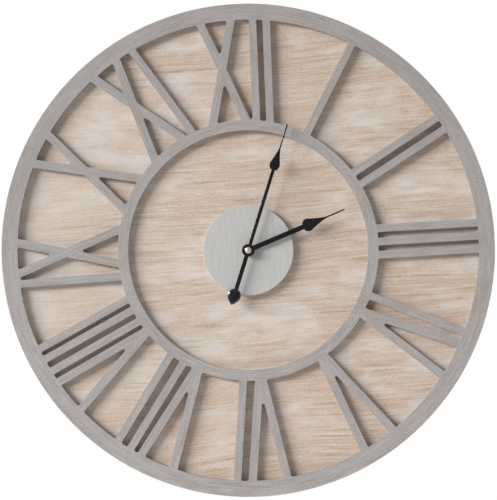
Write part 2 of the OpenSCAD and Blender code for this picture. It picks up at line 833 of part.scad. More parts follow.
module minute_hand() {
    color("black") on_wall() rotate(-minute_at) difference() {
        union() {
            plate(minute_hand_z, minute_hand_z + hand_t) {
                spade_blade(minute_l, minute_spade, minute_spade_w, minute_shank_w);
                bar([0, 0], [0, weight_l/2 - tail_l], tail_shank_w);
                circle(d = boss_d);
            }
            plate(minute_hand_z, minute_hand_z + weight_t) counterweight_outline();
            rod(cap_d/2 + 1, minute_hand_z, cap_z);
        }
        rod(stud_r + run_gap, minute_hand_z - 1, cap_z + 1);
    }
}

module cap_nut() {
    color("khaki") on_wall() difference() {
        union() {
            rod(cap_d/2, cap_z, cap_z + cap_skirt);
            translate([0, 0, cap_z + cap_skirt]) cylinder(r1 = cap_d/2, r2 = cap_d/4, h = cap_dome);
        }
        rod(stud_r + run_gap, cap_z - 1, minute_hand_z + stud_l + part_gap);
    }
}

back_board();
face_veneer();
numeral_fretwork();
centre_disc();
upper_batten();
lower_batten();
batten_screws();
hanger_plate();
hanger_screws();
wall_bumpers();
movement_case();
movement_cover();
threaded_bushing();
rubber_gasket();
dial_washer();
dial_nut();
train_plate();
circuit_board();
clock_chip();
quartz_crystal();
coil_bobbin();
coil_winding();
stator();
battery_cell();
positive_contact();
negative_contact();
rotor_magnet();
rotor_pinion();
intermediate_wheel();
seconds_wheel();
third_wheel();
centre_wheel();
minute_arbor();
motion_wheel();
hour_wheel();
setting_knob();
hour_hand();
hour_hand_collar();
minute_hand();
cap_nut();
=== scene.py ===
import math

import bmesh
import bpy
from mathutils import Matrix, Vector


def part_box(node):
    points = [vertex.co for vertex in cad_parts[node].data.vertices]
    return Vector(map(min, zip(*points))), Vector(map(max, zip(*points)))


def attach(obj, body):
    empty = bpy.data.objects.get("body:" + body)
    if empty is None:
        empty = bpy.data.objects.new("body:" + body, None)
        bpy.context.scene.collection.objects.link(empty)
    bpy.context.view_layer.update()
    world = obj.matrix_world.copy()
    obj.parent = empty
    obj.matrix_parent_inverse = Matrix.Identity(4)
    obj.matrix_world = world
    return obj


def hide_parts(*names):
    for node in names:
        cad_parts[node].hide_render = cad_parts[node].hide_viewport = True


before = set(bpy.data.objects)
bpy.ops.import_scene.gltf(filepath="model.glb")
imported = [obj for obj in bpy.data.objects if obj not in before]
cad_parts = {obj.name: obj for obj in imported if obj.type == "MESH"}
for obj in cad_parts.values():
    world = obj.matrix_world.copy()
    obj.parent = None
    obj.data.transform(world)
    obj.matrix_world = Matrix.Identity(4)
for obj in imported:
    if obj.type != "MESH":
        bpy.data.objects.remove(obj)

# ------------------------------------------------------------------------------------------------------------
# Back board: a round panel of medium density fibreboard that everything else is glued or screwed to.
# Its faces are pressed smooth. Its edge is sawn round, so it is darker there and furry.
# ------------------------------------------------------------------------------------------------------------

MM = 0.001
OUT = Vector((0, -1, 0))
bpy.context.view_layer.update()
cap_low, cap_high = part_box("cap_nut")
hand_axis = Vector((cap_low.x + cap_high.x, 0, cap_low.z + cap_high.z))/2
dial_steps = 288


def layer(node):
    """How far off the wall a part's back and front lie."""
    low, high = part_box(node)
    return -high.y, -low.y


def radius_of(node):
    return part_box(node)[1].x - hand_axis.x


def turned(profile, foot=hand_axis, axis=OUT, steps=96):
    """A part turned on a lathe. The profile lists its corners as a radius and a distance along the axis
    from its foot. It starts and ends on the axis for a solid. Anywhere else makes a ring, which it closes."""
    bm = bmesh.new()
    corners = [bm.verts.new((radius, 0, along)) for radius, along in profile]
    sides = list(zip(corners, corners[1:]))
    if profile[0][0] > 0:
        sides.append((corners[-1], corners[0]))
    edges = [bm.edges.new(side) for side in sides]
    bmesh.ops.spin(bm, geom=corners + edges, axis=(0, 0, 1), angle=math.tau, steps=steps, use_merge=True)
    bmesh.ops.remove_doubles(bm, verts=bm.verts, dist=1e-7)
    bmesh.ops.recalc_face_normals(bm, faces=bm.faces)
    place = Matrix.Translation(foot) @ axis.to_track_quat("Z", "Y").to_matrix().to_4x4()
    bmesh.ops.transform(bm, matrix=place, verts=bm.verts)
    return bm


def ease_edges(bm, width, segments=3, chosen=lambda edge: True):
    """Rounds the edges where two faces meet at more than 35 degrees."""
    edges = [e for e in bm.edges if e.is_manifold and e.calc_face_angle() > math.radians(35) and chosen(e)]
    return bmesh.ops.bevel(bm, geom=edges, offset=width, offset_type="OFFSET", affect="EDGES",
                           segments=segments, profile=0.5, material=-1, clamp_overlap=True)["faces"]


def washer_shape(outer, inner, back, front, steps=96):
    return turned([(inner, back), (outer, back), (outer, front), (inner, front)], steps=steps)


def show(name, bm, *materials):
    """Puts a finished mesh on view. Weighted normals keep its flats flat beside its rounded edges."""
    mesh = bpy.data.meshes.new(name)
    bm.to_mesh(mesh)
    bm.free()
    for material in materials:
        mesh.materials.append(material)
    mesh.shade_smooth()
    mesh.set_sharp_from_angle(angle=math.radians(50))
    piece = bpy.data.objects.new(name, mesh)
    bpy.context.scene.collection.objects.link(piece)
    piece.modifiers.new("weighted_normals", "WEIGHTED_NORMAL").keep_sharp = True
    return piece


def linear(hex_colour):
    """An sRGB hex colour as the linear colour that the shaders mix."""
    channels = [int(hex_colour[i:i + 2], 16)/255 for i in (1, 3, 5)]
    return [c/12.92 if c <= 0.04045 else ((c + 0.055)/1.055)**2.4 for c in channels] + [1.0]


def add_node(material, kind, sockets=None, output=None, stops=(), **settings):
    """Adds a node. Its sockets take a value or another node's output, and its stops are the places and
    colours of a colour ramp. Returns the output that is named, or else the first."""
    node = material.node_tree.nodes.new("ShaderNode" + kind)
    for name, value in settings.items():
        setattr(node, name, value)
    for i, (place, colour) in enumerate(stops):
        element = node.color_ramp.elements[i] if i < 2 else node.color_ramp.elements.new(place)
        element.position = place
        element.color = linear(colour)
    for name, value in (sockets or {}).items():
        socket = next(s for s in node.inputs if name in (s.identifier, s.name) and s.enabled)
        if isinstance(value, bpy.types.NodeSocket):
            material.node_tree.links.new(value, socket)
        else:
            socket.default_value = value
    return node.outputs[output] if output else next((s for s in node.outputs if s.enabled), None)


def start_material(name):
    material = bpy.data.materials.new(name)
    material.use_nodes = True
    material.node_tree.nodes.clear()
    return material


def drawn_out(material, size, shift=0.0, turn=0.0, detail=3.0, rough=0.5, source=None):
    """Noise with features of a real size along X, Y and Z, turned about the dial's axis."""
    source = source or add_node(material, "TexCoord", output="Object")
    placed = add_node(material, "Mapping", {"Vector": source, "Location": (shift, shift, shift),
                                            "Rotation": (0, math.radians(turn), 0), "Scale": size},
                      vector_type="TEXTURE")
    return add_node(material, "TexNoise", {"Vector": placed, "Scale": 1.0, "Detail": detail,
                                           "Roughness": rough})


def spread(material, value, low, high, to_low=0.0, to_high=1.0):
    """A pattern's values from low to high, spread over another range."""
    return add_node(material, "MapRange", {"Value": value, "From Min": low, "From Max": high,
                                           "To Min": to_low, "To Max": to_high})


def mixed(material, share, first, second, blend="MIX"):
    """Two colours or patterns mixed by a share."""
    first, second = [linear(c) if isinstance(c, str) else c for c in (first, second)]
    return add_node(material, "Mix", {"Factor": share, "A_Color": first, "B_Color": second},
                    data_type="RGBA", blend_type=blend)


def end_material(material, colour, roughness, height, depth, **constants):
    """Closes a material: one shader, with a relief as deep as depth."""
    relief = add_node(material, "Bump", {"Height": height, "Distance": depth})
    sockets = {name.replace("_", " ").title(): value for name, value in constants.items()}
    shader = add_node(material, "BsdfPrincipled", {"Base Color": colour, "Roughness": roughness,
                                                   "Normal": relief, **sockets})
    add_node(material, "OutputMaterial", {"Surface": shader})
    return material


# Medium density fibreboard: matt brown, flecked with pressed fibres 1 to 3 mm long.
fibreboard = start_material("medium_density_fibreboard")
fibres = drawn_out(fibreboard, (2.6*MM, 0.9*MM, 1.4*MM), detail=4)
clouds = drawn_out(fibreboard, (45*MM, 45*MM, 30*MM), shift=0.3, detail=2)
flecked = add_node(fibreboard, "ValToRGB", {"Fac": fibres},
                   stops=[(0.36, "#99764F"), (0.5, "#A98660"), (0.66, "#B99770")])
clouded = mixed(fibreboard, spread(fibreboard, clouds, 0.35, 0.65, 0.0, 0.35), flecked, "#9A7450")
end_material(fibreboard, clouded, spread(fibreboard, fibres, 0.3, 0.7, 0.95, 0.78), fibres, 0.12*MM)

board_back, board_front = layer("back_board")
bushing_hole = 4.25*MM
board = washer_shape(radius_of("back_board"), bushing_hole, board_back, board_front, dial_steps)
ease_edges(board, 0.5*MM, chosen=lambda edge: edge.calc_length() > 1*MM)
board_panel = show("board_panel", board, fibreboard)
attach(board_panel, "clock")
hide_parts("back_board")

# ------------------------------------------------------------------------------------------------------------
# Dial veneer: one leaf of wood glued over the board's face, its grain level with three and nine o'clock.
# It is whitewashed: thin white is rubbed in and wiped off, so it stays in the hollows and lies thin on the
# hard grain.
# ------------------------------------------------------------------------------------------------------------

# Whitewashed oak: pale beige, with fine hard grain lines 1 to 3 mm apart that run on for a hand's width. The
# wood is mixed paler towards nine o'clock.
oak = start_material("whitewashed_oak_veneer")
GRAIN_TILT = -1.2
place = add_node(oak, "TexCoord", output="Object")
sway = drawn_out(oak, (260*MM, 1, 90*MM), shift=0.7, detail=1)
swayed = add_node(oak, "CombineXYZ", {"Z": spread(oak, sway, 0.3, 0.7, -5*MM, 5*MM)})
grain_place = add_node(oak, "VectorMath", {"Vector": place, "Vector_001": swayed}, operation="ADD")
lines = drawn_out(oak, (70*MM, 1, 1.9*MM), 0.11, GRAIN_TILT, 4, 0.65, grain_place)
bands = drawn_out(oak, (240*MM, 1, 12*MM), 0.23, GRAIN_TILT, 3, 0.55, grain_place)
wash = drawn_out(oak, (70*MM, 1, 26*MM), 0.41, GRAIN_TILT, 4, 0.65, grain_place)
streaks = drawn_out(oak, (120*MM, 1, 2.6*MM), 0.57, GRAIN_TILT, 2, 0.5, grain_place)
pores = drawn_out(oak, (5*MM, 1, 0.9*MM), 0.77, GRAIN_TILT, 3, 0.6, grain_place)
flecks = drawn_out(oak, (2.4*MM, 1, 1.6*MM), 0.9, 0, 2, 0.6, place)
wood = add_node(oak, "ValToRGB", {"Fac": lines},
                stops=[(0.3, "#AA9483"), (0.44, "#C3B09F"), (0.56, "#D0C0B1"), (0.72, "#DAD0C5")])
wood = mixed(oak, spread(oak, bands, 0.42, 0.66, 0.0, 0.6), wood, "#C6A996")
wood = mixed(oak, spread(oak, streaks, 0.58, 0.72, 0.0, 0.55), wood, "#9C826E")
wood = mixed(oak, spread(oak, pores, 0.53, 0.7, 0.0, 0.6), wood, "#A48C79")
wood = mixed(oak, spread(oak, flecks, 0.5, 0.7, 0.0, 0.5), wood, "#DFD5C9")
wood = mixed(oak, spread(oak, wash, 0.46, 0.66, 0.0, 0.7), wood, "#DCD4CF")
across_dial = add_node(oak, "SeparateXYZ", {"Vector": place}, output="X")
paler_towards_nine = spread(oak, across_dial, -0.3, -0.05, 0.4, 0.0)
wood = mixed(oak, paler_towards_nine, wood, "#D6CDC4")
end_material(oak, wood, spread(oak, lines, 0.3, 0.7, 0.72, 0.55), lines, 0.16*MM)

veneer_back, veneer_front = layer("face_veneer")
leaf = washer_shape(radius_of("face_veneer"), bushing_hole, veneer_back, veneer_front, dial_steps)
ease_edges(leaf, 0.2*MM, 2, chosen=lambda edge: edge.calc_length() > 1*MM)
veneer_leaf = show("veneer_leaf", leaf, oak)
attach(veneer_leaf, "clock")
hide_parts("face_veneer")

# ------------------------------------------------------------------------------------------------------------
# Numeral fretwork: rim, numerals and inner ring, routed from one fibreboard sheet and glued to the dial.
# It is brushed with thin grey wash, round the two rings and along each stroke of the numerals.
# ------------------------------------------------------------------------------------------------------------

RIM_W = 19.3*MM
rim_inner = radius_of("numeral_fretwork") - RIM_W
ring_outer = 158.6*MM
STEM = 9.2*MM
SLANT = 9.9*MM

# The strokes of XII, I, II and on to XI. Each has its direction at the rim and at the inner ring, in degrees
# clockwise from its hour, and its width.
NUMERALS = [
    [(-8.6, 2.5, SLANT), (-1.0, -12.4, SLANT), (4.4, 7.0, STEM), (7.8, 13.0, STEM)],
    [(0, 0, STEM)],
    [(-1.7, -3.0, STEM), (1.7, 3.0, STEM)],
    [(-3.5, -6.3, STEM), (-0.2, -0.4, STEM), (3.0, 5.4, STEM)],
    [(-5.8, -6.1, STEM), (-2.8, 1.5, SLANT), (6.1, 2.6, SLANT)],
    [(-5.5, -2.2, SLANT), (3.1, -0.6, SLANT)],
    [(-6.4, -2.9, SLANT), (2.3, -1.5, SLANT), (6.1, 5.6, STEM)],
    [(-7.7, -4.1, SLANT), (1.0, -2.8, SLANT), (4.1, 3.4, STEM), (7.7, 10.0, STEM)],
    [(-10.1, -5.4, SLANT), (-1.4, -4.9, SLANT), (1.8, 0.4, STEM), (5.2, 6.1, STEM), (8.1, 11.3, STEM)],
    [(-5.0, -8.2, STEM), (-2.5, 12.7, SLANT), (5.2, -2.4, SLANT)],
    [(-4.6, 6.9, SLANT), (3.3, -8.3, SLANT)],
    [(-8.6, 3.0, SLANT), (-1.5, -12.4, SLANT), (3.1, 8.0, STEM)],
]
HOUR = 30


def copy_of(node):
    """A CAD part's mesh as whole flat faces, ready to be worked on."""
    bm = bmesh.new()
    bm.from_mesh(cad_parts[node].data)
    bmesh.ops.remove_doubles(bm, verts=bm.verts, dist=1e-6)
    bmesh.ops.dissolve_limit(bm, angle_limit=math.radians(0.5), verts=bm.verts, edges=bm.edges)
    return bm


def dial_point(radius, degrees):
    angle = math.radians(degrees)
    return hand_axis + radius*Vector((math.sin(angle), 0, math.cos(angle)))


def from_axis(point):
    """A point's distance from the hand axis and its direction in degrees clockwise from twelve."""
    step = point - hand_axis
    return math.hypot(step.x, step.z), math.degrees(math.atan2(step.x, step.z)) % 360


def cut(bm, faces, point, normal):
    """Cuts some faces along a plane."""
    parts = set(faces)
    parts.update(edge for face in faces for edge in face.edges)
    parts.update(vert for face in faces for vert in face.verts)
    bmesh.ops.bisect_plane(bm, geom=list(parts), dist=0.02*MM, plane_co=point, plane_no=normal)


def front_faces(bm, hour=None):
    found = [f for f in bm.faces if f.normal.y < -0.99]
    if hour is None:
        return found
    turn = [(from_axis(f.calc_center_median())[1] - HOUR*hour + 180) % 360 - 180 for f in found]
    return [f for f, degrees in zip(found, turn) if abs(degrees) < HOUR/2]


def stroke_frame(hour, stroke):
    """Where a stroke meets the rim, the way it runs inwards, the way across it, its length and half its
    width."""
    at_rim, at_ring, width = stroke
    start = dial_point(rim_inner, HOUR*hour + at_rim)
    run = dial_point(ring_outer, HOUR*hour + at_ring) - start
    along = run.normalized()
    return start, along, along.cross(OUT), run.length, width/2


fretwork = copy_of("numeral_fretwork")
ease_edges(fretwork, 0.8*MM, 3, chosen=lambda edge: abs(edge.verts[0].co.y - edge.verts[1].co.y) < 1*MM)

# The sheet is marked out in twelve sectors, then along both sides and across both ends of every stroke.
for hour in range(6):
    across = dial_point(1, HOUR*hour + HOUR/2) - hand_axis
    cut(fretwork, front_faces(fretwork), hand_axis, across.cross(OUT))
for hour, strokes in enumerate(NUMERALS):
    for stroke in strokes:
        start, along, across, length, half = stroke_frame(hour, stroke)
        for side in (-half, half):
            cut(fretwork, front_faces(fretwork, hour), start + side*across, across)
        for end in (start, start + length*along):
            strip = [f for f in front_faces(fretwork, hour)
                     if abs((f.calc_center_median() - start).dot(across)) < half]
            cut(fretwork, strip, end, end - hand_axis)

# Each corner keeps its place along the brush's path, a number for its stroke, and its place across the path.
brush = fretwork.loops.layers.float_vector.new("brush")
for face in fretwork.faces:
    centre = face.calc_center_median()
    distance, direction = from_axis(centre)
    hour = round(direction/HOUR) % 12
    nearest = None
    if face.normal.y < -0.3 and ring_outer < distance < rim_inner:
        frames = [stroke_frame(hour, stroke) for stroke in NUMERALS[hour]]
        nearest = min(frames, key=lambda f: abs((centre - f[0]).dot(f[2]))/f[4])
    for loop in face.loops:
        spot = loop.vert.co
        if nearest:
            start, along, across = nearest[:3]
            loop[brush] = ((spot - start).dot(along), start.x, (spot - start).dot(across))
        elif face.normal.y < -0.3:
            loop[brush] = (spot.x, spot.z, from_axis(spot)[0])
        else:
            loop[brush] = (spot.x, spot.z, spot.y)

# Grey wash on fibreboard: matt, with bristle streaks 1 to 2 mm apart, a mottle of thin and thick spots, and
# brown patches. The colour is mixed darker towards twelve.
grey_wash = start_material("grey_wash_on_fibreboard")
path = add_node(grey_wash, "Attribute", output="Vector", attribute_name="brush")
bristles = drawn_out(grey_wash, (32*MM, 32*MM, 1.5*MM), 0.0, 0, 4, 0.65, path)
loads = drawn_out(grey_wash, (60*MM, 60*MM, 9*MM), 0.3, 0, 2, 0.5, path)
mottle = drawn_out(grey_wash, (2.6*MM, 2.6*MM, 2.6*MM), 0.7, 0, 3, 0.65)
patches = drawn_out(grey_wash, (40*MM, 40*MM, 40*MM), 0.5, 0, 3)
wash_colour = add_node(grey_wash, "ValToRGB", {"Fac": bristles},
                       stops=[(0.3, "#928C8A"), (0.5, "#A8A3A0"), (0.7, "#B9B6B4")])
wash_colour = mixed(grey_wash, spread(grey_wash, loads, 0.4, 0.7, 0.0, 0.5), wash_colour, "#B3AFAD")
wash_colour = mixed(grey_wash, spread(grey_wash, mottle, 0.45, 0.7, 0.0, 0.6), wash_colour, "#8E8683")
wash_colour = mixed(grey_wash, spread(grey_wash, patches, 0.5, 0.75, 0.0, 0.45), wash_colour, "#978E87")
up_dial = add_node(grey_wash, "SeparateXYZ", {"Vector": add_node(grey_wash, "TexCoord", output="Object")},
                   output="Z")
wash_colour = mixed(grey_wash, spread(grey_wash, up_dial, -0.25, 0.12, 0.0, 0.2), wash_colour, "#8C8682")
end_material(grey_wash, wash_colour, spread(grey_wash, bristles, 0.3, 0.7, 0.7, 0.55), bristles, 0.1*MM)

numeral_ring = show("numeral_ring", fretwork, grey_wash)
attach(numeral_ring, "clock")
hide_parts("numeral_fretwork")

# ------------------------------------------------------------------------------------------------------------
# Centre disc: a 9 mm fibreboard disc glued on the veneer round the hands' bushing.
# It has two coats of pale grey, sanded between coats, so it is smoother and lighter than the ring.
# ------------------------------------------------------------------------------------------------------------

# Pale grey paint: fine upright brush marks about 1 mm apart, almost even in colour.
pale_paint = start_material("pale_grey_brushed_paint")
marks = drawn_out(pale_paint, (1.3*MM, 1, 20*MM), 0.2, 0, 4, 0.65)
shade = drawn_out(pale_paint, (14*MM, 1, 40*MM), 0.6, 0, 3)
specks = drawn_out(pale_paint, (2.2*MM, 1, 2.8*MM), 0.8, 0, 3, 0.6)
paint_colour = add_node(pale_paint, "ValToRGB", {"Fac": marks},
                        stops=[(0.28, "#B1AFAD"), (0.5, "#BDBCBA"), (0.72, "#C7C6C5")])
paint_colour = mixed(pale_paint, spread(pale_paint, shade, 0.4, 0.7, 0.0, 0.5), paint_colour, "#B9B9BA")
paint_colour = mixed(pale_paint, spread(pale_paint, specks, 0.45, 0.7, 0.0, 0.4), paint_colour, "#CCCBC9")
end_material(pale_paint, paint_colour, spread(pale_paint, marks, 0.3, 0.7, 0.6, 0.45), marks, 0.05*MM)

disc_back, disc_front = layer("centre_disc")
disc = washer_shape(radius_of("centre_disc"), bushing_hole, disc_back, disc_front, 192)
ease_edges(disc, 0.5*MM, chosen=lambda edge: edge.calc_length() > 1*MM)
dial_disc = show("dial_disc", disc, pale_paint)
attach(dial_disc, "clock")
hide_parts("centre_disc")

# ------------------------------------------------------------------------------------------------------------
# Battens: two planed softwood laths screwed across the back, which hold the board flat and off the wall.
# Their long edges are eased with a plane. The upper one is let in for the hanger, with a pocket behind it.
# ------------------------------------------------------------------------------------------------------------

# Planed pine: growth rings 3 mm apart round a heart behind the lath, so that they show as lines on its faces
# and as arcs on its ends.
RING_SPACING = 3.2*MM
pine = start_material("planed_pine")
place = add_node(pine, "TexCoord", output="Object")
heart = add_node(pine, "Mapping", {"Vector": place, "Location": (0, 70*MM, -0.02), "Rotation": (0, 0, 0.02)},
                 vector_type="TEXTURE")
rings = add_node(pine, "TexWave", {"Vector": heart, "Scale": math.tau/20/RING_SPACING, "Distortion": 1.6,
                                   "Detail": 2.0, "Detail Scale": 0.12},
                 wave_type="RINGS", rings_direction="X", wave_profile="SAW")
hairs = drawn_out(pine, (60*MM, 0.9*MM, 0.9*MM), 0.2, 0, 3, 0.6)
tone = drawn_out(pine, (200*MM, 30*MM, 30*MM), 0.5, 0, 2)
pine_colour = add_node(pine, "ValToRGB", {"Fac": rings},
                       stops=[(0.0, "#DEC08E"), (0.6, "#D3AE78"), (0.93, "#B98B55"), (1.0, "#DEC08E")])
pine_colour = mixed(pine, spread(pine, hairs, 0.45, 0.75, 0.0, 0.4), pine_colour, "#B58A58")
pine_colour = mixed(pine, spread(pine, tone, 0.35, 0.7, 0.0, 0.35), pine_colour, "#E6CDA1")
end_material(pine, pine_colour, spread(pine, hairs, 0.3, 0.7, 0.75, 0.6), hairs, 0.1*MM)


def on_outside(edge, low, high):
    """True for an edge that two of a box's sides share."""
    middle = (edge.verts[0].co + edge.verts[1].co)/2
    return sum(min(middle[i] - low[i], high[i] - middle[i]) < 0.01*MM for i in range(3)) >= 2


for place_name in ("upper", "lower"):
    node = place_name + "_batten"
    low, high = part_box(node)
    lath = copy_of(node)
    ease_edges(lath, 1.2*MM, chosen=lambda edge: on_outside(edge, low, high))
    batten = show(place_name + "_lath", lath, pine)
    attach(batten, "clock")
    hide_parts(node)

# ------------------------------------------------------------------------------------------------------------
# Batten screws: eight countersunk wood screws with a cross recess, bright zinc plated.
# They go through the battens into the board.
# ------------------------------------------------------------------------------------------------------------

# Zinc plate: bright grey with a bluish bloom and fine pits.
zinc_plate = start_material("bright_zinc_plate")
bloom = drawn_out(zinc_plate, (3*MM, 3*MM, 3*MM), 0.1, 0, 3)
pits = drawn_out(zinc_plate, (0.35*MM, 0.35*MM, 0.35*MM), 0.4, 0, 2)
zinc_colour = add_node(zinc_plate, "ValToRGB", {"Fac": bloom},
                       stops=[(0.32, "#A9ABAA"), (0.5, "#BFC3C6"), (0.68, "#D6D3C6")])
end_material(zinc_plate, zinc_colour, spread(zinc_plate, bloom, 0.3, 0.7, 0.28, 0.46), pits, 0.02*MM,
             metallic=1.0)


def cross_recess(bm, reach, width, depth):
    """Sinks a cross in a screw head that faces up, narrower at the bottom."""
    for across in (Vector((1, 0, 0)), Vector((0, 1, 0))):
        for offset in (-reach, -width, width, reach):
            cut(bm, [f for f in bm.faces if f.normal.z > 0.6], across*offset, across)
    cross = []
    for face in bm.faces:
        spot = face.calc_center_median()
        arms = sorted((abs(spot.x), abs(spot.y)))
        if face.normal.z > 0.6 and arms[0] < width and arms[1] < reach:
            cross.append(face)
    floor = bmesh.ops.extrude_face_region(bm, geom=cross)["geom"]
    sunk = [part for part in floor if isinstance(part, bmesh.types.BMVert)]
    bmesh.ops.delete(bm, geom=[f for f in cross if f.is_valid], context="FACES_ONLY")
    bmesh.ops.translate(bm, vec=(0, 0, -depth), verts=sunk)
    bmesh.ops.scale(bm, vec=(0.7, 0.7, 1), verts=sunk)


def thread(root, crest, start, end, pitch):
    """The zigzag outline of a thread, as corners of a turned profile."""
    turns = int((end - start)/pitch)
    return [(radius, start + (i + share)*pitch)
            for i in range(turns) for radius, share in ((root, 0.1), (crest, 0.5), (root, 0.9))]


def placed_copies(bm, places, axis):
    """The same screw at several places, its head facing along the axis."""
    turn = axis.to_track_quat("Z", "Y").to_matrix().to_4x4()
    stamp = bpy.data.meshes.new("stamp")
    bm.to_mesh(stamp)
    bm.free()
    group = bmesh.new()
    for i, place in enumerate(places):
        twist = Matrix.Rotation(0.7*i, 4, "Z")
        stamp.transform(Matrix.Translation(place) @ turn @ twist)
        group.from_mesh(stamp)
        stamp.transform((Matrix.Translation(place) @ turn @ twist).inverted())
    bpy.data.meshes.remove(stamp)
    return group


def screw_places(node, shares, head_r, head_back):
    """Middles of the heads of a node's screws, in two rows. The shares are their places along half a row."""
    low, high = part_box(node)
    rows = [low.z + head_r + row*(high.z - low.z - 2*head_r) for row in (0, 1)]
    return [Vector((share*((high.x - low.x)/2 - head_r), -head_back, z)) for z in rows for share in shares]


head_back, screw_front = layer("batten_screws")
HEAD_R = 3.6*MM
SHANK_R = 1.75*MM
screw_l = screw_front - head_back
cone = HEAD_R - SHANK_R
profile = [(0, -screw_l), (0.5*MM, -screw_l + 1.5*MM)]
profile += thread(SHANK_R - 0.45*MM, SHANK_R, -screw_l + 2*MM, -screw_l*0.35, 1.5*MM)
profile += [(SHANK_R - 0.2*MM, -screw_l*0.33), (SHANK_R - 0.2*MM, -cone), (HEAD_R - 0.1*MM, -0.15*MM),
            (HEAD_R - 0.15*MM, 0), (0, 0)]
countersunk = turned(profile, Vector(), Vector((0, 0, 1)), 32)
cross_recess(countersunk, 2.1*MM, 0.55*MM, 1.3*MM)
places = screw_places("batten_screws", (-1, -0.45, 0.45, 1), HEAD_R, head_back)
screws = show("countersunk_screws", placed_copies(countersunk, places, -OUT), zinc_plate)
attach(screws, "clock")
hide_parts("batten_screws")

# ------------------------------------------------------------------------------------------------------------
# Hanger: a stamped keyhole plate let into the upper batten, held by two pan head screws.
# The edges of the stamping are rounded over by tumbling before it is zinc plated.
# ------------------------------------------------------------------------------------------------------------

plate = copy_of("hanger_plate")
ease_edges(plate, 0.25*MM, 2)
keyhole_plate = show("keyhole_plate", plate, zinc_plate)
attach(keyhole_plate, "clock")
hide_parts("hanger_plate")

pan_back, pan_front = layer("hanger_screws")
PAN_R = 2.6*MM
PAN_T = 1.5*MM
PAN_SHANK_R = 1.3*MM
pan_l = pan_front - pan_back
dome = [(PAN_R*math.cos(a), -0.7*MM + 0.7*MM*math.sin(a)) for a in (math.pi/2*i/6 for i in range(6))]
profile = [(0, -pan_l), (0.4*MM, -pan_l + 1*MM)]
profile += thread(PAN_SHANK_R - 0.35*MM, PAN_SHANK_R, -pan_l + 1.2*MM, -PAN_T - 0.5*MM, 1.1*MM)
profile += [(PAN_SHANK_R - 0.2*MM, -PAN_T), (PAN_R, -PAN_T)] + dome + [(0, 0)]
pan_head = turned(profile, Vector(), Vector((0, 0, 1)), 32)
cross_recess(pan_head, 1.6*MM, 0.45*MM, 0.9*MM)
low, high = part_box("hanger_screws")
places = [Vector((0, -pan_back, z)) for z in (low.z + PAN_R, high.z - PAN_R)]
hanger_screws = show("pan_head_screws", placed_copies(pan_head, places, -OUT), zinc_plate)
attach(hanger_screws, "clock")
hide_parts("hanger_screws")

# ------------------------------------------------------------------------------------------------------------
# Wall bumpers: four self-adhesive rubber discs on the ends of the battens.
# They are moulded with a rounded face that dips a little in the middle.
# ------------------------------------------------------------------------------------------------------------

# Black rubber: matt dark grey with a dusty bloom and a slightly pitted skin.
rubber = start_material("moulded_rubber")
dust = drawn_out(rubber, (6*MM, 6*MM, 6*MM), 0.2, 0, 4, 0.6)
skin = drawn_out(rubber, (0.5*MM, 0.5*MM, 0.5*MM), 0.6, 0, 2)
rubber_colour = mixed(rubber, spread(rubber, dust, 0.4, 0.75), "#2B2B2C", "#4A4949")
end_material(rubber, rubber_colour, spread(rubber, dust, 0.3, 0.7, 0.7, 0.9), skin, 0.03*MM)

low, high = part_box("wall_bumpers")
bumper_r = 7*MM
bumper_t = high.y - low.y
profile = [(0, 0), (bumper_r, 0), (bumper_r, 0.5*bumper_t), (0.9*bumper_r, 0.88*bumper_t),
           (0.75*bumper_r, bumper_t), (0.5*bumper_r, 0.94*bumper_t), (0, 0.88*bumper_t)]
bumper = turned(profile, Vector(), Vector((0, 0, 1)), 48)
ease_edges(bumper, 0.2*MM, 2)
places = [Vector((x, low.y, z)) for x in (low.x + bumper_r, high.x - bumper_r)
          for z in (low.z + bumper_r, high.z - bumper_r)]
bumpers = show("rubber_bumpers", placed_copies(bumper, places, -OUT), rubber)
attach(bumpers, "clock")
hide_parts("wall_bumpers")

# ------------------------------------------------------------------------------------------------------------
# Movement shells: the case and its snap-in cover, moulded in black ABS with a fine spark-eroded grain.
# The case is open at the back over the battery, and the cover carries the back ends of the arbors.
# ------------------------------------------------------------------------------------------------------------

# Black ABS: satin, with the tool's grain of about half a millimetre and a faint bloom where it is handled.
black_abs = start_material("moulded_black_abs")
tool_grain = drawn_out(black_abs, (0.45*MM, 0.45*MM, 0.45*MM), 0.1, 0, 2, 0.6)
handling = drawn_out(black_abs, (18*MM, 18*MM, 18*MM), 0.4, 0, 3)
abs_colour = mixed(black_abs, spread(black_abs, handling, 0.35, 0.7), "#17181A", "#232427")
end_material(black_abs, abs_colour, spread(black_abs, handling, 0.3, 0.7, 0.38, 0.52), tool_grain, 0.02*MM)


def add_shell(bm, other):
    """Moulds another closed shape on to a piece."""
    stamp = bpy.data.meshes.new("stamp")
    other.to_mesh(stamp)
    other.free()
    bm.from_mesh(stamp)
    bpy.data.meshes.remove(stamp)


def block(low, high, eased):
    """A rounded block between two corners."""
    bm = bmesh.new()
    size = high - low
    place = Matrix.Translation((low + high)/2) @ Matrix.Diagonal(size).to_4x4()
    bmesh.ops.create_cube(bm, size=1, matrix=place)
    ease_edges(bm, eased, 2)
    return bm


case = copy_of("movement_case")
case_low, case_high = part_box("movement_case")
ease_edges(case, 1.0*MM, chosen=lambda edge: on_outside(edge, case_low, case_high))
cell_low, cell_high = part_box("battery_cell")
RIB_W = 1.2*MM
# Four ribs inside the bay hold the battery off its floor.
for share in (0.15, 0.38, 0.62, 0.85):
    x = cell_low.x + share*(cell_high.x - cell_low.x)
    add_shell(case, block(Vector((x - RIB_W/2, case_low.y + 1*MM, cell_low.z + 3*MM)),
                          Vector((x + RIB_W/2, cell_low.y, cell_high.z - 3*MM)), 0.1*MM))
case_shell = show("case_shell", case, black_abs)
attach(case_shell, "clock")
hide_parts("movement_case")

